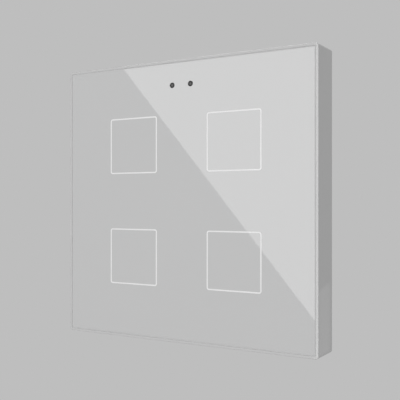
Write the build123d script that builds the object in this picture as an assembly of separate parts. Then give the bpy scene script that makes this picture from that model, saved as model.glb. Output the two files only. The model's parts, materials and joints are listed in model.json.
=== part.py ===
from build123d import *
import os

# Lengths are in millimetres. X runs to the right along the wall, Z runs up and the front looks along -Y.
# A height is a distance from the wall towards the room: height h lies at y = -h.

# Panel
panel_side = 81.0
panel_depth = 10.65
skirt_flare = 0.33
panel_corner_radius = 0.8
rim_width = 0.7
rim_chamfer = 0.1
wall_thickness = 1.5
skirt_gap = 0.2

# Glass
glass_gap = 0.2
glass_thickness = 2.0
glass_edge_chamfer = 0.06
seal_drop = 0.15

# Touch fields
key_margin = 15.0
key_side = 16.2
key_corner_radius = 0.55
line_width = 0.4
line_depth = 0.3

# Sensor windows
sensor_pitch = 6.0
sensor_inset = 6.33
nose_radius = 0.78
lens_radius = 0.36
sleeve_side = 2.6
sleeve_bore_side = 1.8
sleeve_roof = 0.2
sensor_fit = 0.02
web_margin = 0.65

# Seats inside the housing
tape_thickness = 0.4
tape_ledge_width = 2.8
tape_inset = 0.4
tape_lap = 1.2
board_ledge_width = 2.0
board_ledge_thickness = 1.2

# Rests, ribs, vents and notch of the housing
rest_side = 4.0
rib_thickness = 1.0
rib_reach = 1.6
rib_inset = 18.8
vent_width = 1.4
vent_length = 2.4
vent_pitch = 3.4
vent_count = 5
notch_width = 12.0
notch_height = 1.2

# Touch board
touch_board_thickness = 1.2
board_clearance = 0.3
pad_inset = 1.2
pad_thickness = 0.1
light_hole_side = 2.4
light_lens_side = 1.8
light_lens_height = 0.8
light_length = 3.6
light_width = 2.8
light_height = 0.7

# Chips and parts on the touch board
controller_side = 7.0
controller_height = 1.4
controller_edge_chamfer = 0.35
controller_leg_count = 7
controller_leg_pitch = 0.8
controller_leg_width = 0.35
controller_leg_reach = 1.0
controller_leg_height = 0.5
crystal_length = 5.0
crystal_width = 3.2
crystal_height = 0.9
crystal_gap = 4.0
temperature_length = 2.9
temperature_width = 1.6
temperature_height = 1.0
sensor_chip_side = 3.1
sensor_chip_height = 0.9
sensor_lens_side = 1.5
sensor_lens_height = 0.9

# Wall plate
plate_gap = 1.5
plate_thickness = 1.0
plate_corner_radius = 9.0
plate_opening_gap = 1.0
slot_inset = 7.5
slot_length = 8.0
slot_width = 4.2
tab_width = 8.0
tab_height = 3.4
tab_offset = 14.0

# Rear cover
cover_gap = 0.1
cover_thickness = 1.4
cover_clearance = 0.2
cover_rib_height = 1.2
tab_clearance = 0.5
head_radius = 4.1
head_wall = 1.0
dome_clearance = 0.9
magnet_length = 10.0
magnet_width = 5.0
magnet_height = 1.5
magnet_inset = 10.0
magnet_wall = 0.9
magnet_fit = 0.05

# Snap hooks that hold the cover in the housing
hook_width = 6.0
hook_inset = 11.0
hook_thickness = 1.0
hook_height = 2.4
hook_nose_reach = 0.6
hook_nose_height = 1.0
hook_clearance = 0.15

# Hump behind the cover
hump_side = 40.0
hump_depth = 9.5
hump_wall = 1.5
hump_corner_radius = 6.0
hump_edge_chamfer = 0.8

# Bus board
bus_board_thickness = 1.6
bus_board_rear = -0.6
post_side = 4.4
post_inset = 3.6

# Bus pins and their well
pin_radius = 0.5
pin_pitch = 5.75
pin_reach = 5.3
pin_tail = 0.8
pin_hole_gap = 0.05
pin_base_width = 3.0
pin_base_hole_side = 1.1
pin_base_height = 0.8
well_depth = 6.5
well_wall = 1.1
well_margin = 1.05
well_clearance = 0.35
well_hole_gap = 0.3

# Bus terminal
terminal_height = 10.4
terminal_length = 11.0
terminal_edge_chamfer = 0.5
terminal_seam = 0.06
contact_side = 1.9
contact_length = 7.5
contact_fit = 0.02
contact_grip = 0.06
wire_hole_side = 1.3
wire_hole_depth = 3.0
wire_hole_pitch = 2.3

# Header and socket between the boards
header_count = 5
header_pitch = 2.0
header_width = 4.4
header_height = 2.0
header_pin_side = 0.5
header_pin_gap = 0.05
header_pin_end_gap = 1.8
header_pin_tail = 0.7
socket_clearance = 0.4

# Programming key and light
button_radius = 1.75
button_proud = 0.4
button_travel = 0.25
button_fit = 0.06
button_hole_gap = 0.3
button_seat_depth = 1.2
button_room = 0.25
switch_side = 6.0
switch_height = 3.5
switch_edge_chamfer = 0.3
signal_side = 1.6
signal_height = 0.8
pipe_radius = 1.2
pipe_fit = 0.05
pipe_gap = 0.2

# Larger parts on the bus board
row_gap = 2.5
part_gap = 1.5
capacitor_radius = 3.15
capacitor_height = 5.4
capacitor_base_side = 6.6
capacitor_base_height = 0.9
inductor_side = 5.0
inductor_height = 2.8
inductor_corner_chamfer = 1.0
transceiver_side = 6.0
transceiver_height = 0.9
sounder_radius = 4.8
sounder_height = 3.0
sounder_hole_radius = 0.9
sounder_hole_depth = 0.9

# Screws
screw_radius = 1.1
screw_head_radius = 2.0
screw_head_height = 1.0
screw_length = 4.2
screw_fit = 0.03

# Places on the boards, as shares of the board's side
controller_place_shares = (-0.04, -0.34)
sounder_place_shares = (0.29, -0.06)
transceiver_place_shares = (-0.32, -0.10)
header_place_shares = (0.0, 0.27)

# Every cut runs past the face that it opens by this much
overrun = 1.0

# Turns that repeat a side's shape on all four sides, in degrees
quarter_turns = (0, 90, 180, 270)

# Sides that follow from the values above
pocket_side = panel_side - 2 * rim_width
glass_side = pocket_side - 2 * glass_gap
key_pitch = glass_side - key_side - 2 * key_margin
sensor_rise = glass_side / 2 - sensor_inset
board_pocket_side = pocket_side - 2 * tape_ledge_width
touch_board_side = board_pocket_side - 2 * board_clearance
window_side = board_pocket_side - 2 * board_ledge_width
hollow_side = panel_side - 2 * wall_thickness
cover_side = hollow_side - 2 * cover_clearance
rib_offset = cover_side / 2 - rib_inset
plate_side = hollow_side - 2 * plate_gap
box_screw_pitch = plate_side - 2 * slot_inset
cup_side = hump_side - 2 * hump_wall
bus_board_side = cup_side - 2 * board_clearance
plate_opening_side = hump_side + 2 * plate_opening_gap

# Heights that follow from the values above
glass_back = panel_depth - glass_thickness
touch_board_front = glass_back - tape_thickness
touch_board_rear = touch_board_front - touch_board_thickness
ledge_rear = touch_board_rear - board_ledge_thickness
cover_rear = plate_thickness + cover_gap
cover_front = cover_rear + cover_thickness
head_top = touch_board_rear - controller_height - dome_clearance - head_wall
hook_top = cover_front + hook_height
hump_rear = -hump_depth
cup_floor = hump_rear + hump_wall
bus_board_front = bus_board_rear + bus_board_thickness
well_floor_rear = hump_rear + well_depth
well_floor_front = well_floor_rear + well_wall
terminal_rear = well_floor_rear - terminal_length
header_front = bus_board_front + header_height
header_pins_front = touch_board_rear - header_pin_end_gap

# Widths and places of the well that follow from the values above
terminal_width = 2 * pin_pitch
well_width = terminal_width + 2 * well_clearance
well_height = terminal_height + 2 * well_clearance
pin_drop = cup_side / 2 - well_margin - well_wall - well_height / 2
row_rise = well_height / 2 + well_wall + row_gap + capacitor_base_side / 2 - pin_drop


def corner_places(reach):
    """The four places at one distance from both middle lines."""
    return [(x * reach, z * reach) for x in (-1, 1) for z in (-1, 1)]


def on_board(shares, side):
    """A place on a square board, from shares of its side."""
    return shares[0] * side, shares[1] * side


key_places = corner_places(key_pitch / 2)
magnet_places = corner_places(plate_side / 2 - magnet_inset)
post_places = corner_places(cup_side / 2 - post_inset)
screw_places = post_places[1:3]
sensor_places = [(-sensor_pitch / 2, sensor_rise), (sensor_pitch / 2, sensor_rise)]
tab_reach = (plate_side - plate_thickness) / 2
tab_places = [(x * tab_offset, z * tab_reach) for x in (-1, 1) for z in (-1, 1)]
side_slots = [(-box_screw_pitch / 2, 0), (box_screw_pitch / 2, 0)]
upright_slots = [(0, -box_screw_pitch / 2), (0, box_screw_pitch / 2)]
pin_places = [(-pin_pitch / 2, -pin_drop), (pin_pitch / 2, -pin_drop)]
controller_place = on_board(controller_place_shares, touch_board_side)
crystal_place = (controller_place[0] + controller_side + crystal_gap, controller_place[1])
header_place = on_board(header_place_shares, bus_board_side)
button_place = ((switch_side + part_gap) / 2, row_rise)
inductor_place = (button_place[0] + switch_side / 2 + part_gap + inductor_side / 2, row_rise)
signal_place = (button_place[0] - switch_side / 2 - part_gap - signal_side / 2, row_rise)
capacitor_place = (signal_place[0] - pipe_radius - part_gap - capacitor_base_side / 2, row_rise)
header_columns = [(column - (header_count - 1) / 2) * header_pitch for column in range(header_count)]
header_pins = [
    (header_place[0] + across, header_place[1] + row * header_pitch / 2)
    for across in header_columns
    for row in (-1, 1)
]


def raised(outline, low, high):
    """The solid of an outline parallel to the wall, between two heights."""
    return extrude(Plane.XZ.offset(low) * outline, amount=high - low)


def at(places, outline):
    """One outline repeated at each place."""
    return Sketch() + [Pos(x, z) * outline for x, z in places]


def square(side, radius):
    """A square with rounded corners."""
    return RectangleRounded(side, side, radius)


def line_outline():
    """The white line round one touch field, half of its width either side of the field's edge."""
    outer = square(key_side + line_width, key_corner_radius + line_width / 2)
    inner = square(key_side - line_width, key_corner_radius - line_width / 2)
    return outer - inner


def housing():
    """Square frame: a skirt that flares towards the wall, a seat for the board and a seat for the glass."""
    front = Plane.XZ.offset(panel_depth) * square(panel_side, panel_corner_radius)
    rear = Plane.XZ.offset(skirt_gap) * square(panel_side + 2 * skirt_flare, panel_corner_radius)
    body = loft([rear, front], ruled=True)
    body = chamfer(body.faces().sort_by(Axis.Y)[0].edges(), rim_chamfer)
    body -= raised(Rectangle(pocket_side, pocket_side), touch_board_front, panel_depth + overrun)
    body -= raised(Rectangle(board_pocket_side, board_pocket_side), touch_board_rear, panel_depth)
    body -= raised(Rectangle(window_side, window_side), ledge_rear, panel_depth)
    body -= raised(Rectangle(hollow_side, hollow_side), skirt_gap - overrun, ledge_rear)
    rests = corner_places((hollow_side - rest_side) / 2)
    body += raised(at(rests, Rectangle(rest_side, rest_side)), cover_front, ledge_rear)
    rib_centre = (hollow_side - rib_reach) / 2
    across = [(x * rib_offset, z * rib_centre) for x in (-1, 1) for z in (-1, 1)]
    upright = [(z, x) for x, z in across]
    body += raised(at(across, Rectangle(rib_thickness, rib_reach)), cover_front, ledge_rear)
    body += raised(at(upright, Rectangle(rib_reach, rib_thickness)), cover_front, ledge_rear)
    body -= hook_pockets()
    body -= vents()
    notch = Rectangle(notch_width, 2 * (wall_thickness + overrun))
    body -= raised(Pos(0, -panel_side / 2) * notch, skirt_gap - overrun, skirt_gap + notch_height)
    return body


def hook_pockets():
    """Blind pockets in the four walls, two to a wall, that the cover's hooks snap into."""
    depth = hook_nose_reach + hook_clearance
    pocket = Rectangle(hook_width + 2 * hook_clearance, 2 * depth)
    pair = at([(-hook_place(), hollow_side / 2), (hook_place(), hollow_side / 2)], pocket)
    pockets = Sketch() + [Rot(0, 0, turn) * pair for turn in quarter_turns]
    return raised(pockets, hook_top - hook_nose_height - hook_clearance, hook_top + hook_clearance)


def hook_place():
    """Distance of a hook from the middle of its side."""
    return cover_side / 2 - hook_inset


def snap_hooks():
    """Hooks along the cover's edge, two to a side, each with a nose that slopes in towards the front."""
    edge = cover_side / 2
    nose_rear = hook_top - hook_nose_height
    section = Polygon(
        (edge - hook_thickness, -cover_rear),
        (edge, -cover_rear),
        (edge, -nose_rear),
        (edge + hook_nose_reach, -nose_rear),
        (edge, -hook_top),
        (edge - hook_thickness, -hook_top),
        align=None,
    )
    hook = extrude(section, amount=hook_width / 2, both=True)
    pair = Part() + [Pos(0, 0, along) * hook for along in (-hook_place(), hook_place())]
    return Part() + [Rot(0, turn, 0) * pair for turn in quarter_turns]


def vents():
    """Row of slots through the bottom wall, below the temperature sensor."""
    middle = (cover_front + ledge_rear) / 2
    depth = wall_thickness + skirt_flare + 2 * overrun
    row = [
        Pos((index - (vent_count - 1) / 2) * vent_pitch, -middle) * Rectangle(vent_width, vent_length)
        for index in range(vent_count)
    ]
    slots = Plane.XY.offset(-panel_side / 2 - skirt_flare - overrun) * (Sketch() + row)
    return extrude(slots, amount=depth)


def front_glass():
    """Sheet with ground edges, four line grooves in its front and two small drilled holes."""
    sheet = raised(Rectangle(glass_side, glass_side), glass_back, panel_depth)
    sheet = chamfer(sheet.faces().sort_by(Axis.Y)[0].edges(), glass_edge_chamfer)
    sheet -= raised(at(key_places, line_outline()), panel_depth - line_depth, panel_depth + overrun)
    nose_holes = at(sensor_places, Circle(nose_radius + sensor_fit))
    return sheet - raised(nose_holes, glass_back - overrun, panel_depth + overrun)


def glass_seal():
    """Light bead of adhesive that fills the gap round the glass, to just below the rim."""
    bead = Rectangle(pocket_side, pocket_side) - Rectangle(glass_side, glass_side)
    return raised(bead, touch_board_front, panel_depth - seal_drop)


def key_outline(place):
    """White enamel that fills one groove flush."""
    return raised(at([place], line_outline()), panel_depth - line_depth, panel_depth)


def glass_tape():
    """Adhesive frame between the glass and its seat, lapping over the edge of the board."""
    outer_side = glass_side - 2 * tape_inset
    inner_side = touch_board_side - 2 * tape_lap
    outline = Rectangle(outer_side, outer_side) - Rectangle(inner_side, inner_side)
    return raised(outline, touch_board_front, glass_back)


def sensor_shroud():
    """Rubber moulding: two square sleeves in the board on one web, each with a nose through the glass."""
    web = Rectangle(sensor_pitch + sleeve_side + 2 * web_margin, sleeve_side + 2 * web_margin)
    body = Pos(0, 0, sensor_rise) * raised(web, touch_board_front, glass_back)
    body += raised(at(sensor_places, Rectangle(sleeve_side, sleeve_side)), touch_board_rear, glass_back)
    body += raised(at(sensor_places, Circle(nose_radius)), glass_back, panel_depth)
    roof = glass_back - sleeve_roof
    bores = at(sensor_places, Rectangle(sleeve_bore_side, sleeve_bore_side))
    body -= raised(bores, touch_board_rear - overrun, roof)
    lens_holes = at(sensor_places, Circle(lens_radius + sensor_fit))
    return body - raised(lens_holes, roof - overrun, panel_depth + overrun)


def sensor_lens(place):
    """Clear pin in one nose, flush with the glass."""
    return raised(at([place], Circle(lens_radius)), glass_back - sleeve_roof, panel_depth)


def sensor_chip(place):
    """Package behind the board, with its square lens in the sleeve."""
    body = raised(at([place], Rectangle(sensor_chip_side, sensor_chip_side)),
                  touch_board_rear - sensor_chip_height, touch_board_rear)
    lens = Rectangle(sensor_lens_side, sensor_lens_side)
    return body + raised(at([place], lens), touch_board_rear, touch_board_rear + sensor_lens_height)


def light_hole():
    """Outline of the opening that lets one key light shine forwards."""
    return Rectangle(light_hole_side, light_hole_side)


def touch_board():
    """Board behind the glass, with openings for the key lights and the sensor sleeves."""
    outline = Rectangle(touch_board_side, touch_board_side)
    outline -= at(key_places, light_hole())
    sleeve_hole_side = sleeve_side + 2 * sensor_fit
    outline -= at(sensor_places, Rectangle(sleeve_hole_side, sleeve_hole_side))
    return raised(outline, touch_board_rear, touch_board_front)


def touch_pads():
    """Four copper electrodes, each with an opening for its light."""
    pad_side = key_side - 2 * pad_inset
    pad = Rectangle(pad_side, pad_side) - light_hole()
    return raised(at(key_places, pad), touch_board_front, touch_board_front + pad_thickness)


def key_lights():
    """Four lights behind the board, each with its lens in the board's opening."""
    body = raised(at(key_places, Rectangle(light_length, light_width)),
                  touch_board_rear - light_height, touch_board_rear)
    lens = Rectangle(light_lens_side, light_lens_side)
    return body + raised(at(key_places, lens), touch_board_rear, touch_board_rear + light_lens_height)


def touch_controller():
    """Flat chip with a row of legs on each of its four sides."""
    low = touch_board_rear - controller_height
    body = raised(Rectangle(controller_side, controller_side), low, touch_board_rear)
    body = chamfer(body.faces().sort_by(Axis.Y)[-1].edges(), controller_edge_chamfer)
    leg_centre = (controller_side + controller_leg_reach) / 2
    legs = Sketch()
    for index in range(controller_leg_count):
        along = (index - (controller_leg_count - 1) / 2) * controller_leg_pitch
        for side in (-1, 1):
            legs += Pos(along, side * leg_centre) * Rectangle(controller_leg_width, controller_leg_reach)
            legs += Pos(side * leg_centre, along) * Rectangle(controller_leg_reach, controller_leg_width)
    body += raised(legs, touch_board_rear - controller_leg_height, touch_board_rear)
    return Pos(controller_place[0], 0, controller_place[1]) * body


def controller_crystal():
    """Small metal can beside the controller."""
    outline = Rectangle(crystal_length, crystal_width)
    return raised(at([crystal_place], outline), touch_board_rear - crystal_height, touch_board_rear)


def temperature_sensor():
    """Small sensor at the board's lower edge, above the vents."""
    place = (0, temperature_width - window_side / 2)
    return raised(at([place], Rectangle(temperature_length, temperature_width)),
                  touch_board_rear - temperature_height, touch_board_rear)


def wall_plate():
    """Pressed steel plate: opening for the hump, two pairs of screw slots, four tabs bent to the room."""
    outline = square(plate_side, plate_corner_radius)
    outline -= square(plate_opening_side, hump_corner_radius)
    outline -= at(side_slots, SlotOverall(slot_length, slot_width))
    outline -= at(upright_slots, SlotOverall(slot_length, slot_width, rotation=90))
    plate = raised(outline, 0, plate_thickness)
    plate += raised(at(tab_places, Rectangle(tab_width, plate_thickness)), 0, tab_height)
    return plate


def rear_cover():
    """Cover with hooks, stiffening ribs, domes over the box screws, magnet seats and the hump."""
    body = raised(Rectangle(cover_side, cover_side), cover_rear, cover_front) + snap_hooks()
    for turn in (0, 90):
        rib = Pos(0, rib_offset) * Rectangle(window_side - 2 * rib_reach, rib_thickness)
        ribs = Rot(0, 0, turn) * (rib + Pos(0, -2 * rib_offset) * rib)
        body += raised(ribs, cover_front, cover_front + cover_rib_height)
    magnet_top = cover_rear + magnet_height
    head_length = slot_length - slot_width + 2 * head_radius
    head_slot = SlotOverall(head_length, 2 * head_radius)
    dome = Rectangle(head_length + 2 * head_wall, 2 * head_radius + 2 * head_wall)
    seat = Rectangle(magnet_length + 2 * magnet_wall, magnet_width + 2 * magnet_wall)
    body += raised(at(magnet_places, seat), cover_rear, magnet_top + magnet_wall)
    domes = at(side_slots, dome) + at(upright_slots, Rot(0, 0, 90) * dome)
    dome_top = head_top + head_wall
    body += raised(domes, cover_rear, dome_top)
    body += hump()
    body -= raised(square(cup_side, hump_corner_radius - hump_wall), cup_floor, dome_top + overrun)
    pocket = Rectangle(magnet_length + 2 * magnet_fit, magnet_width + 2 * magnet_fit)
    body -= raised(at(magnet_places, pocket), cover_rear - overrun, magnet_top)
    head_slots = at(side_slots, head_slot) + at(upright_slots, Rot(0, 0, 90) * head_slot)
    body -= raised(head_slots, cover_rear - overrun, head_top)
    tab_hole = Rectangle(tab_width + 2 * tab_clearance, plate_thickness + 2 * tab_clearance)
    body -= raised(at(tab_places, tab_hole), cover_rear - overrun, cover_front + cover_rib_height + overrun)
    body += raised(at(post_places, Rectangle(post_side, post_side)), cup_floor, bus_board_rear)
    screw_holes = at(screw_places, Circle(screw_radius + screw_fit))
    body -= raised(screw_holes, post_screw_tip(), bus_board_rear + overrun)
    well = Pos(0, -pin_drop) * Rectangle(well_width, well_height)
    thick_well = Pos(0, -pin_drop) * Rectangle(well_width + 2 * well_wall, well_height + 2 * well_wall)
    body += raised(thick_well, cup_floor, well_floor_front)
    body -= raised(well, hump_rear - overrun, well_floor_rear)
    body -= raised(at(pin_places, Circle(pin_radius + well_hole_gap)), well_floor_rear - overrun,
                   well_floor_front + overrun)
    body -= raised(at([button_place], Circle(button_radius + button_hole_gap)), hump_rear - overrun,
                   cup_floor + overrun)
    pipe_hole = at([signal_place], Circle(pipe_radius + pipe_fit))
    return body - raised(pipe_hole, hump_rear - overrun, cup_floor + overrun)


def hump():
    """Block behind the cover that reaches into the wall box, before it is hollowed."""
    block = raised(square(hump_side, hump_corner_radius), hump_rear, cover_front)
    return chamfer(block.faces().sort_by(Axis.Y)[-1].edges(), hump_edge_chamfer)


def post_screw_tip():
    """Height that the board screws reach inside their posts."""
    return bus_board_front - screw_length


def magnets():
    """Four flat blocks, flush with the cover's rear face."""
    blocks = at(magnet_places, Rectangle(magnet_length, magnet_width))
    return raised(blocks, cover_rear, cover_rear + magnet_height)


def board_screws():
    """Two pan-head screws through the bus board into two of its posts."""
    shank = raised(at(screw_places, Circle(screw_radius)), post_screw_tip(), bus_board_front)
    heads = at(screw_places, Circle(screw_head_radius))
    return shank + raised(heads, bus_board_front, bus_board_front + screw_head_height)


def header_pin_holes():
    """Outline of the square holes that the header's pins pass."""
    hole_side = header_pin_side + 2 * header_pin_gap
    return at(header_pins, Rectangle(hole_side, hole_side))


def bus_board():
    """Board in the hump, on its posts, with holes for the pins and the screws."""
    outline = square(bus_board_side, hump_corner_radius - hump_wall - board_clearance)
    outline -= at(screw_places, Circle(screw_radius + screw_fit))
    outline -= at(pin_places, Circle(pin_radius + pin_hole_gap))
    outline -= header_pin_holes()
    return raised(outline, bus_board_rear, bus_board_front)


def bus_pins():
    """Two round pins from the bus board into the terminal's well."""
    return raised(at(pin_places, Circle(pin_radius)), well_floor_rear - pin_reach, bus_board_front + pin_tail)


def pin_base():
    """Moulded strip round both pins, on the rear of the bus board."""
    strip = Pos(0, -pin_drop) * Rectangle(pin_pitch + pin_base_width, pin_base_width)
    strip -= at(pin_places, Rectangle(pin_base_hole_side, pin_base_hole_side))
    return raised(strip, bus_board_rear - pin_base_height, bus_board_rear)


def header_strip():
    """Outline of the header and of the socket opposite."""
    return Pos(*header_place) * Rectangle(header_count * header_pitch, header_width)


def board_header():
    """Two rows of square pins in a moulded strip on the bus board, with short tails behind it."""
    pins = at(header_pins, Rectangle(header_pin_side, header_pin_side))
    body = raised(header_strip(), bus_board_front, header_front)
    return body + raised(pins, bus_board_rear - header_pin_tail, header_pins_front)


def board_socket():
    """Moulded socket on the touch board, which the header's pins enter."""
    low = header_front + socket_clearance
    body = raised(header_strip(), low, touch_board_rear)
    return body - raised(header_pin_holes(), low - overrun, header_pins_front + socket_clearance)


def bus_terminal(side):
    """One half of the plug-on terminal, with four wire holes behind and the bore of its contact in front."""
    width = pin_pitch - terminal_seam
    centre = (side * pin_pitch / 2, -pin_drop)
    block = raised(at([centre], Rectangle(width, terminal_height)), terminal_rear, well_floor_rear)
    block = chamfer(block.faces().sort_by(Axis.Y)[-1].edges(), terminal_edge_chamfer)
    bore_side = contact_side + 2 * contact_fit
    block -= raised(at([centre], Rectangle(bore_side, bore_side)), well_floor_rear - contact_length,
                    well_floor_rear + overrun)
    wire_places = [
        (centre[0] + x * wire_hole_pitch / 2, centre[1] + z * wire_hole_pitch)
        for x in (-1, 1)
        for z in (-1, 1)
    ]
    return block - raised(at(wire_places, Rectangle(wire_hole_side, wire_hole_side)), terminal_rear - overrun,
                          terminal_rear + wire_hole_depth)


def terminal_contacts():
    """Two square brass tubes that grip the pins."""
    bore_side = 2 * pin_radius + 2 * contact_grip
    tube = Rectangle(contact_side, contact_side) - Rectangle(bore_side, bore_side)
    return raised(at(pin_places, tube), well_floor_rear - contact_length, well_floor_rear)


def programming_switch():
    """Square body of the push switch, with the bore that its plunger runs in."""
    low = bus_board_rear - switch_height
    body = raised(at([button_place], Rectangle(switch_side, switch_side)), low, bus_board_rear)
    body = chamfer(body.faces().sort_by(Axis.Y)[-1].edges(), switch_edge_chamfer)
    bore = raised(at([button_place], Circle(button_radius + button_fit)), low - overrun,
                  low + button_seat_depth + button_travel + button_room)
    return body - bore


def programming_button():
    """Round plunger from the switch through the hump's rear wall."""
    low = hump_rear - button_proud
    high = bus_board_rear - switch_height + button_seat_depth
    return raised(at([button_place], Circle(button_radius)), low, high)


def programming_light():
    """Small light on the bus board, under its pipe."""
    return raised(at([signal_place], Rectangle(signal_side, signal_side)), bus_board_rear - signal_height,
                  bus_board_rear)


def light_pipe():
    """Clear rod from the light to the hump's rear face."""
    rod = at([signal_place], Circle(pipe_radius))
    return raised(rod, hump_rear, bus_board_rear - signal_height - pipe_gap)


def buffer_capacitor():
    """Round can on a square base."""
    base_rear = bus_board_rear - capacitor_base_height
    base_outline = Rectangle(capacitor_base_side, capacitor_base_side)
    body = raised(at([capacitor_place], base_outline), base_rear, bus_board_rear)
    can = Circle(capacitor_radius)
    return body + raised(at([capacitor_place], can), bus_board_rear - capacitor_height, base_rear)


def power_inductor():
    """Square choke with cut corners."""
    outline = Rectangle(inductor_side, inductor_side)
    outline = chamfer(outline.vertices(), inductor_corner_chamfer)
    return raised(at([inductor_place], outline), bus_board_rear - inductor_height, bus_board_rear)


def bus_transceiver():
    """Flat square chip on the front of the bus board."""
    place = on_board(transceiver_place_shares, bus_board_side)
    return raised(at([place], Rectangle(transceiver_side, transceiver_side)), bus_board_front,
                  bus_board_front + transceiver_height)


def piezo_sounder():
    """Round sounder with its sound hole, on the front of the bus board."""
    place = on_board(sounder_place_shares, bus_board_side)
    top = bus_board_front + sounder_height
    body = raised(at([place], Circle(sounder_radius)), bus_board_front, top)
    return body - raised(at([place], Circle(sounder_hole_radius)), top - sounder_hole_depth, top + overrun)


parts = {
    "wall_plate": wall_plate(),
    "housing": housing(),
    "front_glass": front_glass(),
    "key_outline_bottom_left": key_outline(key_places[0]),
    "key_outline_top_left": key_outline(key_places[1]),
    "key_outline_bottom_right": key_outline(key_places[2]),
    "key_outline_top_right": key_outline(key_places[3]),
    "sensor_shroud": sensor_shroud(),
    "sensor_lens_left": sensor_lens(sensor_places[0]),
    "sensor_lens_right": sensor_lens(sensor_places[1]),
    "glass_tape": glass_tape(),
    "glass_seal": glass_seal(),
    "touch_board": touch_board(),
    "touch_pads": touch_pads(),
    "key_lights": key_lights(),
    "proximity_emitter": sensor_chip(sensor_places[0]),
    "proximity_receiver": sensor_chip(sensor_places[1]),
    "touch_controller": touch_controller(),
    "controller_crystal": controller_crystal(),
    "temperature_sensor": temperature_sensor(),
    "board_socket": board_socket(),
    "rear_cover": rear_cover(),
    "magnets": magnets(),
    "board_screws": board_screws(),
    "bus_board": bus_board(),
    "board_header": board_header(),
    "bus_pins": bus_pins(),
    "pin_base": pin_base(),
    "bus_transceiver": bus_transceiver(),
    "buffer_capacitor": buffer_capacitor(),
    "power_inductor": power_inductor(),
    "piezo_sounder": piezo_sounder(),
    "programming_switch": programming_switch(),
    "programming_button": programming_button(),
    "programming_light": programming_light(),
    "light_pipe": light_pipe(),
    "bus_terminal_plus": bus_terminal(-1),
    "bus_terminal_minus": bus_terminal(1),
    "terminal_contacts": terminal_contacts(),
}

os.makedirs("parts", exist_ok=True)
for name, solid in parts.items():
    export_step(solid, f"parts/{name}.step")
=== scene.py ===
import json
import math

import bmesh
import bpy
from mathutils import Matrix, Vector


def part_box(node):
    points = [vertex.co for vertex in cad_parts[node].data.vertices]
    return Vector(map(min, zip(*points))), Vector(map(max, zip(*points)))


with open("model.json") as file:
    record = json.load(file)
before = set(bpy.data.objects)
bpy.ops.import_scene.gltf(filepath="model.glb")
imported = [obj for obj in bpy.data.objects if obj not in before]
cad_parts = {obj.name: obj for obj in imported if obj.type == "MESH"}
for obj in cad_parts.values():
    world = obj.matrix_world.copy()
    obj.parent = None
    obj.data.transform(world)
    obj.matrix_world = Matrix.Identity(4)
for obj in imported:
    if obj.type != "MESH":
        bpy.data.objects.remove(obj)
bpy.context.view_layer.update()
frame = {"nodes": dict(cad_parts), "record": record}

# Lengths are in metres, in the frame of the model: X right, Z up, the glass looks along -Y.
MILLIMETRE = 0.001

# The photograph's frame, and its camera as fitted to the lines of the panel, in shares of the glass's side
IMAGE_SIDE = 400
FOCAL_PIXELS = 639.1
HORIZON_PIXEL = 202.67
SENSOR_WIDTH = 36.0
CAMERA_YAW = math.radians(28.649)
CAMERA_RIGHT_SHARE = 1.1625
CAMERA_AWAY_SHARE = 1.9868
CAMERA_RISE_SHARE = -0.0056
CAMERA_NEAR_LIMIT = 0.01
CAMERA_FAR_LIMIT = 50.0

# Where the edge of the bright reflection crosses the glass, in pixels of the photograph
GLINT_START_PIXEL = (124.25, 70.0)
GLINT_END_PIXEL = (314.25, 320.0)

# The side wall leans out towards the wall plate, and mirrors a faint light area in its lower part
SIDE_LEAN = math.radians(1.8)
SIDE_GLINT_FRONT_PIXEL = (318.5, 292.0)
SIDE_GLINT_REAR_PIXEL = (329.9, 282.0)

# Tones as the photograph shows them, 0 to 255
BACKGROUND_TONE = 190
GLASS_TONE = 191.6
HOUSING_TONE = 192
SEAL_TONE = 205
ENAMEL_TONE = 229

# Tones of the other greys
RUBBER_TONE = 50
LENS_TONE = 84
TAPE_TONE = 215
CHIP_TONE = 38
CAN_TONE = 205
COVER_TONE = 74
LIGHT_PIPE_TONE = 208
DARK_TERMINAL_TONE = 48

# Colours, as linear values
BOARD_GREEN = (0.02, 0.14, 0.06, 1)
COPPER = (0.80, 0.57, 0.25, 1)
NICKEL = (0.62, 0.60, 0.56, 1)
SCREW_STEEL = (0.60, 0.61, 0.62, 1)
PLATE_STEEL = (0.60, 0.61, 0.63, 1)
LIGHT_WHITE = (0.80, 0.76, 0.60, 1)
BUTTON_RED = (0.42, 0.03, 0.025, 1)
TERMINAL_RED = (0.50, 0.022, 0.018, 1)
WHITE = (1, 1, 1, 1)

# The pane mirrors at both its faces, which together are as bright as one face of this index
GLASS_IOR = 1.8
GLASS_WARMTH = -0.002
GLASS_WAVE_DEPTH = 0.01 * MILLIMETRE

# Texture of the other surfaces. The last value times the wear of an edge is the change of its roughness.
TEXTURE_DEPTH = 0.05 * MILLIMETRE
WIDE_GRAIN_SHARE = 0.04
STROKE_STRETCH = (0.04, 1.0, 1.0)
RUBBED_POLISH = -0.4

# The ranges that the noises and the turn of an edge take up: from none of an effect to all of it
CLOUD_RANGE = (0.3, 0.7)
GRAIN_RANGE = (0.15, 0.35)
EDGE_TURN_RANGE = (0.995, 0.86)
RUBBED_PATCH_RANGE = (0.40, 0.62)

# The glowing cards, and their distances from the surfaces that mirror them
WINDOW_GLOW = 1.325
WINDOW_LIGHT_LEVEL = 3.3
WINDOW_DISTANCE = 0.55
RIM_GLOW = 2.28
RIM_CARD_DISTANCE = 0.10
RIM_CARD_OVERLAP = 1.0 * MILLIMETRE
SIDE_GLOW = 0.175
SIDE_CARD_DISTANCE = 0.03

# What mirrors the window card, and what mirrors the two smaller ones. The housing doesn't mirror the window
# card, which would show as a white strip on its top side in views from behind.
FRONT_NODES = (
    "front_glass", "key_outline_top_left", "key_outline_top_right", "key_outline_bottom_left",
    "key_outline_bottom_right", "sensor_shroud", "sensor_lens_left", "sensor_lens_right",
)
HOUSING_NODES = ("housing",)

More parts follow.
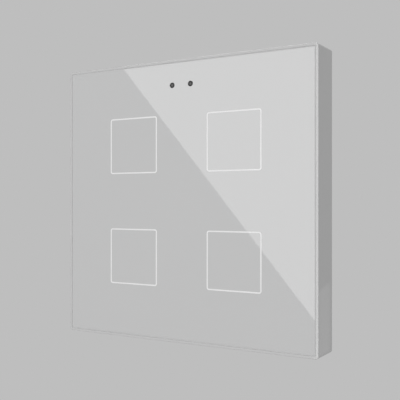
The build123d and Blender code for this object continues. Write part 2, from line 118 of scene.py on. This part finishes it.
# Soft lights, and the even light around them
WORLD_LEVEL = 0.45
LIGHT_TARGET = (0, 0, 0)
FRONT_LIGHT_PLACE = (0.20, -0.94, 0.12)
FRONT_LIGHT_SIDE = 0.5
FRONT_LIGHT_POWER = 4.42
TOP_LIGHT_PLACE = (-0.1, -0.1, 0.85)
TOP_LIGHT_SIDE = 0.7
TOP_LIGHT_POWER = 0.3
BACK_LIGHT_PLACE = (-0.25, 0.62, 0.75)
BACK_LIGHT_SIDE = 0.7
BACK_LIGHT_POWER = 4.0

# Floor
FLOOR_DROP = 0.30
FLOOR_SIDE = 8.0
FLOOR_CLEAR_RADIUS = 0.40
FLOOR_FADE_RADIUS = 0.75


def linear(tone):
    """One display tone, 0 to 255, as a linear value."""
    share = tone / 255
    return share / 12.92 if share <= 0.04045 else ((share + 0.055) / 1.055) ** 2.4


def grey(tone, warmth=0.0):
    """A grey of one display tone, a little warmer or cooler."""
    value = linear(tone)
    return (value * (1 + warmth), value, value * (1 - warmth), 1.0)


panel_low, panel_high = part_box("housing")
glass_low, glass_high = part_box("front_glass")
glass_side = glass_high.x - glass_low.x
front_y = glass_low.y

camera_place = Vector((
    glass_side * CAMERA_RIGHT_SHARE,
    front_y - glass_side * CAMERA_AWAY_SHARE,
    glass_side * CAMERA_RISE_SHARE,
))
camera_forward = Vector((-math.sin(CAMERA_YAW), math.cos(CAMERA_YAW), 0))
camera_right = Vector((math.cos(CAMERA_YAW), math.sin(CAMERA_YAW), 0))

# The two mirroring planes, each as a point on it and its normal
front_plane = (Vector((0, front_y, 0)), Vector((0, -1, 0)))
side_normal = Vector((math.cos(SIDE_LEAN), -math.sin(SIDE_LEAN), 0))
side_plane = (Vector((panel_high.x, panel_high.y, 0)), side_normal)


def sight_line(pixel):
    """Direction from the camera through one pixel of the photograph."""
    across = (pixel[0] - IMAGE_SIDE / 2) / FOCAL_PIXELS
    up = (HORIZON_PIXEL - pixel[1]) / FOCAL_PIXELS
    return camera_forward + camera_right * across + Vector((0, 0, up))


def seen_on(pixel, plane):
    """The point of one plane that a pixel of the photograph shows."""
    point, normal = plane
    line = sight_line(pixel)
    return camera_place + line * ((point - camera_place).dot(normal) / line.dot(normal))


def mirrored_camera(plane):
    """The camera's mirror image behind one plane."""
    point, normal = plane
    return camera_place - normal * (2 * (camera_place - point).dot(normal))


def add_camera():
    """Camera at the photograph's place, level, with its horizon just below the middle."""
    data = bpy.data.cameras.new("photo_camera")
    data.sensor_width = SENSOR_WIDTH
    data.lens = FOCAL_PIXELS / IMAGE_SIDE * SENSOR_WIDTH
    data.shift_y = (HORIZON_PIXEL - IMAGE_SIDE / 2) / IMAGE_SIDE
    data.clip_start = CAMERA_NEAR_LIMIT
    data.clip_end = CAMERA_FAR_LIMIT
    camera = bpy.data.objects.new("photo_camera", data)
    camera.location = camera_place
    camera.rotation_euler = (math.pi / 2, 0, CAMERA_YAW)
    bpy.context.scene.collection.objects.link(camera)
    bpy.context.scene.camera = camera


def link_mesh(name, mesh_data):
    """Turns a finished bmesh into an object at the origin."""
    mesh = bpy.data.meshes.new(name)
    mesh_data.to_mesh(mesh)
    mesh_data.free()
    piece = bpy.data.objects.new(name, mesh)
    bpy.context.scene.collection.objects.link(piece)
    return piece


class Nodes:
    """Short way to place and join the nodes of one material or group."""

    def __init__(self, tree):
        self.tree = tree

    def feed(self, node, inputs):
        """Gives inputs of a node a value or a link each."""
        for key, value in inputs.items():
            if isinstance(value, bpy.types.NodeSocket):
                self.tree.links.new(value, node.inputs[key])
            else:
                node.inputs[key].default_value = value

    def add(self, kind, inputs=None, **settings):
        """A new node with its settings and inputs."""
        node = self.tree.nodes.new(kind)
        for key, value in settings.items():
            setattr(node, key, value)
        self.feed(node, inputs or {})
        return node

    def group(self, tree, **inputs):
        """A shared group with its own values."""
        return self.add("ShaderNodeGroup", inputs, node_tree=tree)

    def calculate(self, operation, first, second, **settings):
        """The result of one calculation on two numbers."""
        return self.add("ShaderNodeMath", {0: first, 1: second}, operation=operation, **settings).outputs[0]

    def spread(self, value, limits, low=0.0, high=1.0):
        """A number moved from its limits to new ones, and held inside them."""
        start, end = limits
        inputs = {"Value": value, "From Min": start, "From Max": end, "To Min": low, "To Max": high}
        return self.add("ShaderNodeMapRange", inputs).outputs["Result"]

    def brighten(self, colour, factor):
        """A colour times a number."""
        node = self.add("ShaderNodeVectorMath", {0: colour, "Scale": factor}, operation="SCALE")
        return node.outputs["Vector"]

    def noise(self, place, scale, detail, roughness=0.5):
        """Soft noise of one scale."""
        inputs = {"Vector": place, "Scale": scale, "Detail": detail, "Roughness": roughness}
        return self.add("ShaderNodeTexNoise", inputs).outputs["Fac"]

    def place(self):
        """The place on the model."""
        return self.add("ShaderNodeTexCoord").outputs["Object"]


def new_group(name, inputs, outputs):
    """An empty node group with named sockets: its tree, nodes helper, input sockets and output node."""
    tree = bpy.data.node_groups.new(name, "ShaderNodeTree")
    for socket, kind, value in inputs:
        made = tree.interface.new_socket(socket, in_out="INPUT", socket_type=kind)
        made.default_value = value
    for socket, kind in outputs:
        tree.interface.new_socket(socket, in_out="OUTPUT", socket_type=kind)
    nodes = Nodes(tree)
    return tree, nodes, nodes.add("NodeGroupInput").outputs, nodes.add("NodeGroupOutput")


def mottle_group():
    """Soft cloudy change of a colour, over a stated size."""
    tree, nodes, given, result = new_group(
        "mottle",
        [
            ("Color", "NodeSocketColor", (0.5, 0.5, 0.5, 1)),
            ("Amount", "NodeSocketFloat", 0.03),
            ("Scale", "NodeSocketFloat", 60.0),
        ],
        [("Color", "NodeSocketColor"), ("Mask", "NodeSocketFloat")],
    )
    cloud = nodes.noise(nodes.place(), given["Scale"], detail=4.0, roughness=0.55)
    both_ways = nodes.spread(cloud, CLOUD_RANGE, low=-1.0, high=1.0)
    change = nodes.calculate("MULTIPLY", both_ways, given["Amount"])
    factor = nodes.calculate("ADD", change, 1.0)
    nodes.feed(result, {"Color": nodes.brighten(given["Color"], factor), "Mask": cloud})
    return tree


def grain_group():
    """Fine eroded or sprayed texture: a height for the bump and a roughness that follows it."""
    tree, nodes, given, result = new_group(
        "grain",
        [
            ("Scale", "NodeSocketFloat", 4000.0),
            ("Low", "NodeSocketFloat", 0.4),
            ("High", "NodeSocketFloat", 0.5),
        ],
        [("Height", "NodeSocketFloat"), ("Roughness", "NodeSocketFloat")],
    )
    place = nodes.place()
    fine = nodes.noise(place, given["Scale"], detail=3.0, roughness=0.6)
    wide_scale = nodes.calculate("MULTIPLY", given["Scale"], WIDE_GRAIN_SHARE)
    wide = nodes.noise(place, wide_scale, detail=2.0)
    both = nodes.calculate("MULTIPLY", fine, wide)
    rough = nodes.spread(both, GRAIN_RANGE, given["Low"], given["High"])
    nodes.feed(result, {"Height": fine, "Roughness": rough})
    return tree


def brush_group():
    """Long fine strokes along X, as rolling or brushing leaves them."""
    tree, nodes, given, result = new_group(
        "brush",
        [
            ("Scale", "NodeSocketFloat", 900.0),
            ("Low", "NodeSocketFloat", 0.25),
            ("High", "NodeSocketFloat", 0.45),
        ],
        [("Height", "NodeSocketFloat"), ("Roughness", "NodeSocketFloat")],
    )
    stretched = nodes.add("ShaderNodeMapping", {"Vector": nodes.place(), "Scale": STROKE_STRETCH})
    strokes = nodes.noise(stretched.outputs[0], given["Scale"], detail=4.0, roughness=0.7)
    rough = nodes.spread(strokes, CLOUD_RANGE, given["Low"], given["High"])
    nodes.feed(result, {"Height": strokes, "Roughness": rough})
    return tree


def edge_group():
    """Edges as a mould or a press leaves them: a rounded normal, and a mask of where they are rubbed."""
    tree, nodes, given, result = new_group(
        "edges",
        [("Radius", "NodeSocketFloat", 0.2 * MILLIMETRE), ("Scale", "NodeSocketFloat", 400.0)],
        [("Normal", "NodeSocketVector"), ("Rubbed", "NodeSocketFloat")],
    )
    rounded = nodes.add("ShaderNodeBevel", {"Radius": given["Radius"]}, samples=6).outputs["Normal"]
    straight = nodes.add("ShaderNodeNewGeometry").outputs["Normal"]
    alike = nodes.add("ShaderNodeVectorMath", {0: rounded, 1: straight}, operation="DOT_PRODUCT")
    turned = nodes.spread(alike.outputs["Value"], EDGE_TURN_RANGE)
    patches = nodes.noise(nodes.place(), given["Scale"], detail=3.0)
    uneven = nodes.spread(patches, RUBBED_PATCH_RANGE)
    nodes.feed(result, {"Normal": rounded, "Rubbed": nodes.calculate("MULTIPLY", turned, uneven)})
    return tree


MOTTLE = mottle_group()
GRAIN = grain_group()
BRUSH = brush_group()
EDGES = edge_group()


def empty_material(name):
    """A material without nodes, and its nodes helper."""
    material = bpy.data.materials.new(name)
    material.use_nodes = True
    material.node_tree.nodes.clear()
    return material, Nodes(material.node_tree)


def new_material(name):
    """A material, its nodes helper, and its shader, which is joined to the output."""
    material, nodes = empty_material(name)
    shader = nodes.add("ShaderNodeBsdfPrincipled")
    nodes.add("ShaderNodeOutputMaterial", {"Surface": shader.outputs["BSDF"]})
    return material, nodes, shader


def surface(name, colour, texture, scale, rough, bump, mottling=0.03, mottle_scale=60.0, metallic=0.0,
            edge=0.1 * MILLIMETRE, rub=0.15):
    """A mottled, textured surface of one colour, with rounded edges that are rubbed a little lighter."""
    material, nodes, shader = new_material(name)
    mottled = nodes.group(MOTTLE, Color=colour, Amount=mottling, Scale=mottle_scale)
    fine = nodes.group(texture, Scale=scale, Low=rough[0], High=rough[1])
    edges = nodes.group(EDGES, Radius=edge)
    worn = nodes.calculate("MULTIPLY", edges.outputs["Rubbed"], rub)
    lighter = nodes.calculate("ADD", worn, 1.0)
    polish = nodes.calculate("MULTIPLY", worn, RUBBED_POLISH)
    relief = nodes.add("ShaderNodeBump", {
        "Height": fine.outputs["Height"],
        "Strength": bump,
        "Distance": TEXTURE_DEPTH,
        "Normal": edges.outputs["Normal"],
    })
    nodes.feed(shader, {
        "Base Color": nodes.brighten(mottled.outputs["Color"], lighter),
        "Roughness": nodes.calculate("ADD", fine.outputs["Roughness"], polish, use_clamp=True),
        "Normal": relief.outputs["Normal"],
        "Metallic": metallic,
    })
    return material


def front_glass_material():
    """Polished glass with a grey print behind it: an even tone under a clear, sharp gloss."""
    material, nodes, shader = new_material("front_glass")
    printed = nodes.group(MOTTLE, Color=grey(GLASS_TONE, GLASS_WARMTH), Amount=0.004, Scale=25.0)
    wiped = nodes.group(MOTTLE, Color=WHITE, Amount=0.0, Scale=45.0).outputs["Mask"]
    relief = nodes.add("ShaderNodeBump", {"Height": wiped, "Strength": 0.02, "Distance": GLASS_WAVE_DEPTH})
    nodes.feed(shader, {
        "Base Color": printed.outputs["Color"],
        "Roughness": nodes.spread(wiped, CLOUD_RANGE, low=0.012, high=0.022),
        "Normal": relief.outputs["Normal"],
        "IOR": GLASS_IOR,
    })
    return material


def front_looks():
    """The surfaces that the front shows, besides the glass, and the tape under it."""
    return {
        "housing_grey": dict(
            colour=grey(HOUSING_TONE), texture=GRAIN, scale=3500.0, rough=(0.03, 0.06), bump=0.02,
            mottling=0.01, edge=0.15 * MILLIMETRE, rub=0.0),
        "seal_grey": dict(
            colour=grey(SEAL_TONE), texture=GRAIN, scale=3000.0, rough=(0.45, 0.6), bump=0.1),
        "white_enamel": dict(
            colour=grey(ENAMEL_TONE), texture=GRAIN, scale=6000.0, rough=(0.18, 0.30), bump=0.05,
            mottling=0.02),
        "black_rubber": dict(
            colour=grey(RUBBER_TONE), texture=GRAIN, scale=5000.0, rough=(0.55, 0.70), bump=0.15,
            mottling=0.05),
        "lens_smoke": dict(
            colour=grey(LENS_TONE), texture=GRAIN, scale=2500.0, rough=(0.10, 0.18), bump=0.03,
            mottling=0.06),
        "tape_white": dict(
            colour=grey(TAPE_TONE), texture=GRAIN, scale=2500.0, rough=(0.6, 0.8), bump=0.2),
    }


def board_looks():
    """The surfaces of the two boards and what they carry."""
    return {
        "board_green": dict(
            colour=BOARD_GREEN, texture=GRAIN, scale=1800.0, rough=(0.22, 0.36), bump=0.1,
            mottling=0.12, mottle_scale=250.0),
        "copper": dict(
            colour=COPPER, texture=BRUSH, scale=2500.0, rough=(0.2, 0.32), bump=0.05,
            mottling=0.06, mottle_scale=200.0, metallic=1.0),
        "chip_black": dict(
            colour=grey(CHIP_TONE), texture=GRAIN, scale=4500.0, rough=(0.45, 0.6), bump=0.25,
            mottling=0.08),
        "metal_can": dict(
            colour=grey(CAN_TONE), texture=BRUSH, scale=1500.0, rough=(0.2, 0.35), bump=0.08,
            mottling=0.04, mottle_scale=200.0, metallic=1.0),
        "light_white": dict(
            colour=LIGHT_WHITE, texture=GRAIN, scale=3000.0, rough=(0.3, 0.45), bump=0.05,
            mottling=0.05),
        "light_pipe_clear": dict(
            colour=grey(LIGHT_PIPE_TONE), texture=GRAIN, scale=2500.0, rough=(0.05, 0.12), bump=0.03),
    }


def back_looks():
    """The surfaces of the cover, the wall plate, the key and the terminal."""
    return {
        "cover_grey": dict(
            colour=grey(COVER_TONE), texture=GRAIN, scale=2200.0, rough=(0.36, 0.52), bump=0.5,
            mottling=0.07, mottle_scale=90.0, edge=0.25 * MILLIMETRE, rub=0.35),
        "magnet_nickel": dict(
            colour=NICKEL, texture=GRAIN, scale=1500.0, rough=(0.12, 0.24), bump=0.05,
            mottling=0.05, mottle_scale=300.0, metallic=1.0),
        "screw_steel": dict(
            colour=SCREW_STEEL, texture=GRAIN, scale=2500.0, rough=(0.22, 0.38), bump=0.08,
            mottling=0.06, mottle_scale=300.0, metallic=1.0),
        "plate_steel": dict(
            colour=PLATE_STEEL, texture=BRUSH, scale=700.0, rough=(0.26, 0.44), bump=0.16,
            mottling=0.08, mottle_scale=110.0, metallic=1.0, edge=0.15 * MILLIMETRE, rub=0.2),
        "button_red": dict(
            colour=BUTTON_RED, texture=GRAIN, scale=3500.0, rough=(0.30, 0.42), bump=0.12,
            mottling=0.05, edge=0.2 * MILLIMETRE, rub=0.25),
        "terminal_red": dict(
            colour=TERMINAL_RED, texture=GRAIN, scale=3200.0, rough=(0.26, 0.38), bump=0.15,
            mottling=0.06, edge=0.2 * MILLIMETRE, rub=0.25),
        "terminal_dark": dict(
            colour=grey(DARK_TERMINAL_TONE), texture=GRAIN, scale=3200.0, rough=(0.26, 0.38), bump=0.15,
            mottling=0.06, edge=0.2 * MILLIMETRE, rub=0.4),
    }


def make_materials():
    """One material for each slot of the record."""
    looks = {**front_looks(), **board_looks(), **back_looks()}
    materials = {slot: surface(slot, **look) for slot, look in looks.items()}
    materials["front_glass"] = front_glass_material()
    return materials


def dress_nodes(materials):
    """Every node of the model gets the material of its slot."""
    for entry in frame["record"]["subparts"]:
        node = frame["nodes"][entry["node"]]
        node.data.materials.clear()
        node.data.materials.append(materials[entry["material_slot"]])


def glowing_material(name, glow):
    """Plain even light."""
    material, nodes = empty_material(name)
    light = nodes.add("ShaderNodeEmission", {"Strength": glow})
    nodes.add("ShaderNodeOutputMaterial", {"Surface": light.outputs[0]})
    return material


def see_through_material(name, glow):
    """Even light on top of what lies behind it."""
    material, nodes = empty_material(name)
    light = nodes.add("ShaderNodeEmission", {"Strength": glow})
    clear = nodes.add("ShaderNodeBsdfTransparent")
    both = nodes.add("ShaderNodeAddShader", {0: light.outputs[0], 1: clear.outputs[0]})
    nodes.add("ShaderNodeOutputMaterial", {"Surface": both.outputs[0]})
    return material


def add_card(name, corners, plane, distance, material):
    """Card in front of a plane, whose mirror image there fills the outline of the corners."""
    point, normal = plane
    eye = mirrored_camera(plane)
    card = bmesh.new()
    outline = []
    for corner in corners:
        ray = corner - eye
        reach = (point + normal * distance - eye).dot(normal) / ray.dot(normal)
        outline.append(card.verts.new(eye + ray * reach))
    card.faces.new(outline)
    piece = link_mesh(name, card)
    piece.data.materials.append(material)
    piece.visible_camera = False
    return piece


def add_mirrored_card(name, corners, plane, distance, glow, mirrors):
    """See-through glowing card that lights nothing, and that only the named nodes mirror."""
    card = add_card(name, corners, plane, distance, see_through_material(name, glow))
    card.visible_diffuse = False
    card.visible_shadow = False
    card.light_linking.receiver_collection = bpy.data.collections.new(name)
    for node in mirrors:
        card.light_linking.receiver_collection.objects.link(frame["nodes"][node])


def add_window_card():
    """Card whose mirror image covers the glass right of the slanting line, and the light that it gives."""
    start = seen_on(GLINT_START_PIXEL, front_plane)
    end = seen_on(GLINT_END_PIXEL, front_plane)
    slope = (end - start) / (end.z - start.z)
    top = start + slope * (glass_high.z - start.z)
    side = start + slope * ((glass_high.x - start.x) / slope.x)
    corner = Vector((glass_high.x, front_y, glass_high.z))
    outline = (top, side, corner)
    add_mirrored_card("window_card", outline, front_plane, WINDOW_DISTANCE, WINDOW_GLOW, FRONT_NODES)
    material = glowing_material("window_light", WINDOW_LIGHT_LEVEL)
    light = add_card("window_light", outline, front_plane, WINDOW_DISTANCE, material)
    light.visible_glossy = False


def add_rim_card():
    """Narrow card whose mirror image covers the right rim, which is lit from top to bottom."""
    inner = glass_high.x
    outer = panel_high.x + RIM_CARD_OVERLAP
    outline = (
        Vector((inner, front_y, panel_low.z)),
        Vector((outer, front_y, panel_low.z)),
        Vector((outer, front_y, panel_high.z)),
        Vector((inner, front_y, panel_high.z)),
    )
    add_mirrored_card("rim_card", outline, front_plane, RIM_CARD_DISTANCE, RIM_GLOW, HOUSING_NODES)


def add_side_card():
    """Faint card whose mirror image covers the lower part of the right side wall."""
    front_top = seen_on(SIDE_GLINT_FRONT_PIXEL, side_plane)
    rear_top = seen_on(SIDE_GLINT_REAR_PIXEL, side_plane)
    outline = (
        front_top,
        rear_top,
        Vector((rear_top.x, rear_top.y, panel_low.z)),
        Vector((front_top.x, front_top.y, panel_low.z)),
    )
    add_mirrored_card("side_card", outline, side_plane, SIDE_CARD_DISTANCE, SIDE_GLOW, HOUSING_NODES)


def add_area_light(name, place, side, power, mirrored):
    """Square soft light that looks at the panel, and that glossy surfaces may or may not mirror."""
    data = bpy.data.lights.new(name, "AREA")
    data.size = side
    data.energy = power
    light = bpy.data.objects.new(name, data)
    light.location = place
    light.rotation_euler = (Vector(LIGHT_TARGET) - Vector(place)).to_track_quat("-Z", "Y").to_euler()
    light.visible_camera = False
    light.visible_glossy = mirrored
    bpy.context.scene.collection.objects.link(light)


def add_world():
    """Even pale surroundings: soft light for the object, and the plain background for what looks at it."""
    world = bpy.data.worlds.new("studio")
    bpy.context.scene.world = world
    world.use_nodes = True
    world.node_tree.nodes.clear()
    nodes = Nodes(world.node_tree)
    path = nodes.add("ShaderNodeLightPath").outputs
    camera_or_gloss = nodes.calculate("MAXIMUM", path["Is Camera Ray"], path["Is Glossy Ray"])
    seen = nodes.calculate("MAXIMUM", camera_or_gloss, path["Is Transmission Ray"])
    light = nodes.add("ShaderNodeBackground", {"Color": WHITE, "Strength": WORLD_LEVEL})
    shown = nodes.add("ShaderNodeBackground", {"Color": grey(BACKGROUND_TONE), "Strength": 1.0})
    mixed = nodes.add("ShaderNodeMixShader", {0: seen, 1: light.outputs[0], 2: shown.outputs[0]})
    nodes.add("ShaderNodeOutputWorld", {"Surface": mixed.outputs[0]})


def floor_material():
    """Pale paint near the object, which fades into the tone of the background further out."""
    material, nodes = empty_material("studio_floor")
    flat = nodes.add("ShaderNodeVectorMath", {0: nodes.place(), 1: (1, 1, 0)}, operation="MULTIPLY")
    away = nodes.add("ShaderNodeVectorMath", {0: flat.outputs[0]}, operation="LENGTH")
    fade = nodes.add("ShaderNodeMapRange", {
        "Value": away.outputs["Value"],
        "From Min": FLOOR_CLEAR_RADIUS,
        "From Max": FLOOR_FADE_RADIUS,
    }, interpolation_type="SMOOTHSTEP")
    paint = nodes.add("ShaderNodeBsdfDiffuse", {"Color": grey(BACKGROUND_TONE)})
    plain = nodes.add("ShaderNodeEmission", {"Color": grey(BACKGROUND_TONE), "Strength": 1.0})
    mixed = nodes.add("ShaderNodeMixShader", {
        0: fade.outputs["Result"],
        1: paint.outputs[0],
        2: plain.outputs[0],
    })
    nodes.add("ShaderNodeOutputMaterial", {"Surface": mixed.outputs[0]})
    return material


def add_floor():
    """Level floor under the panel, which takes its shadow."""
    floor = bmesh.new()
    bmesh.ops.create_grid(floor, x_segments=1, y_segments=1, size=FLOOR_SIDE / 2)
    bmesh.ops.translate(floor, vec=(0, 0, -FLOOR_DROP), verts=floor.verts)
    piece = link_mesh("studio_floor", floor)
    piece.data.materials.append(floor_material())


bpy.context.scene.view_settings.view_transform = "Standard"
add_camera()
add_world()
add_floor()
add_window_card()
add_rim_card()
add_side_card()
add_area_light("front_light", FRONT_LIGHT_PLACE, FRONT_LIGHT_SIDE, FRONT_LIGHT_POWER, mirrored=False)
add_area_light("top_light", TOP_LIGHT_PLACE, TOP_LIGHT_SIDE, TOP_LIGHT_POWER, mirrored=False)
add_area_light("back_light", BACK_LIGHT_PLACE, BACK_LIGHT_SIDE, BACK_LIGHT_POWER, mirrored=True)
dress_nodes(make_materials())
